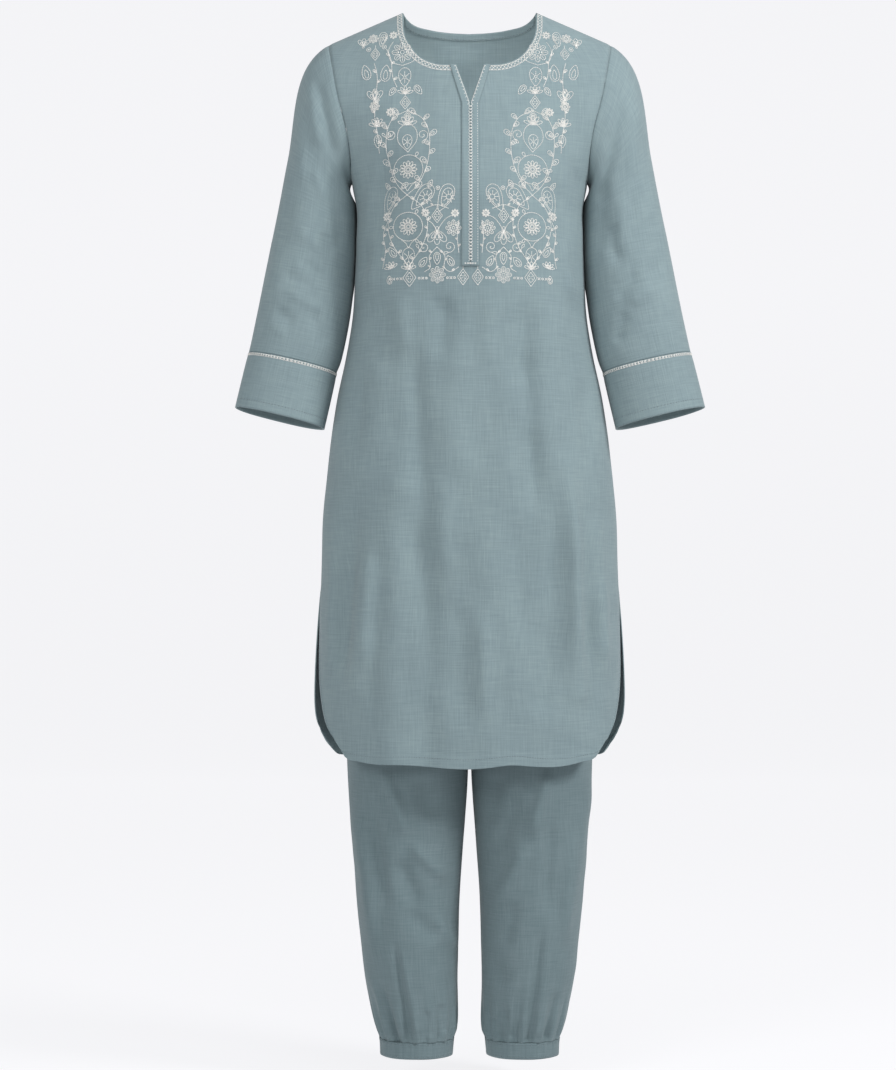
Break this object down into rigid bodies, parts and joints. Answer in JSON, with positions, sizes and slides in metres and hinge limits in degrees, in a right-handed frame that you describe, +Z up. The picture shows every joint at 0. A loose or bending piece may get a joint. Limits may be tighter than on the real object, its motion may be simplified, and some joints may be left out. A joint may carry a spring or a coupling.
{
  "type": "kurta set",
  "caption": "Straight long-sleeved tunic with a slit neck and side slits over trousers gathered into ankle cuffs, held open as worn.",
  "frame": {"origin": "midway between the shoulder neck points, where the wearer's shoulders hold the garment", "axes": "+Z up along the garment's length, +X to the viewer's right, front faces -Y"},
  "size_m": [0.6262, 0.2663, 1.3948],
  "materials": {
    "kurta_cloth": "matt linen-like plain weave, grey-blue",
    "trouser_cloth": "matt plain weave, darker grey-blue"
  },
  "bodies": {
    "root": {"kurta_front": "kurta_cloth", "kurta_back": "kurta_cloth", "sleeve_left": "kurta_cloth", "sleeve_right": "kurta_cloth", "cuff_left": "kurta_cloth", "cuff_right": "kurta_cloth", "placket": "kurta_cloth", "back_neck_facing": "kurta_cloth", "leg_front_left": "trouser_cloth", "leg_back_left": "trouser_cloth", "leg_front_right": "trouser_cloth", "leg_back_right": "trouser_cloth", "waistband": "trouser_cloth", "ankle_cuff_left": "trouser_cloth", "ankle_cuff_right": "trouser_cloth"}
  },
  "joints": []
}
